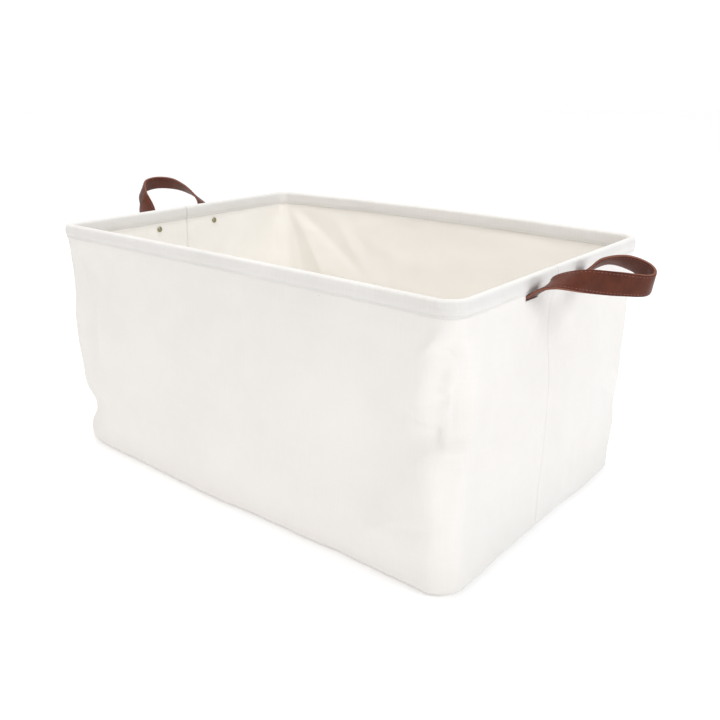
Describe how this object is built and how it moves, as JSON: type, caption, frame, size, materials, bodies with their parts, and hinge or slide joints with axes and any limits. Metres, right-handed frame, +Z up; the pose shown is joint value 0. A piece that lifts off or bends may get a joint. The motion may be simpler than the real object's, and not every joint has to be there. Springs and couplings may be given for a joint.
{
  "type": "fabric storage bin",
  "caption": "Open rectangular canvas storage bin with a wired rim band, coated lining and a twisted leather strap handle riveted to each short end.",
  "frame": {"origin": "centre of the bin's underside, on the surface it stands on", "axes": "+X along the long sides, towards the right handle; +Z up; the front long side faces -Y"},
  "size_m": [0.7708, 0.4, 0.336],
  "materials": {
    "canvas": "matt plain-weave canvas",
    "lining": "smooth coated cloth",
    "rim_band": "folded canvas band with visible threads",
    "leather_outer": "smooth satin leather, reddish brown",
    "leather_inner": "satin leather, greyer brown",
    "wire": "drawn steel wire",
    "rivet": "antique brass, slightly worn"
  },
  "bodies": {
    "bin": {"outer_front_panel": "canvas", "outer_back_panel": "canvas", "outer_base": "canvas", "lining_front_panel": "lining", "lining_back_panel": "lining", "lining_base": "lining", "rim_band_front": "rim_band", "rim_band_back": "rim_band", "rim_wire": "wire", "wire_sleeve": "wire", "left_front_end_outer_layer": "leather_outer", "left_front_end_inner_layer": "leather_inner", "left_back_end_outer_layer": "leather_outer", "left_back_end_inner_layer": "leather_inner", "right_front_end_outer_layer": "leather_outer", "right_front_end_inner_layer": "leather_inner", "right_back_end_outer_layer": "leather_outer", "right_back_end_inner_layer": "leather_inner", "left_front_rivet_post": "rivet", "left_front_rivet_cap": "rivet", "left_back_rivet_post": "rivet", "left_back_rivet_cap": "rivet", "right_front_rivet_post": "rivet", "right_front_rivet_cap": "rivet", "right_back_rivet_post": "rivet", "right_back_rivet_cap": "rivet"},
    "left_handle": {"left_strap_outer_layer": "leather_outer", "left_strap_inner_layer": "leather_inner"},
    "right_handle": {"right_strap_outer_layer": "leather_outer", "right_strap_inner_layer": "leather_inner"}
  },
  "joints": [
    {"name": "left_handle_swing", "type": "hinge", "parent": "bin", "child": "left_handle", "pos_m": [-0.313, -0.006, 0.288], "axis": [0, 1, 0], "range_deg": [-110, 57]},
    {"name": "right_handle_swing", "type": "hinge", "parent": "bin", "child": "right_handle", "pos_m": [0.311, -0.018, 0.289], "axis": [0, -1, 0], "range_deg": [-88, 72]}
  ]
}
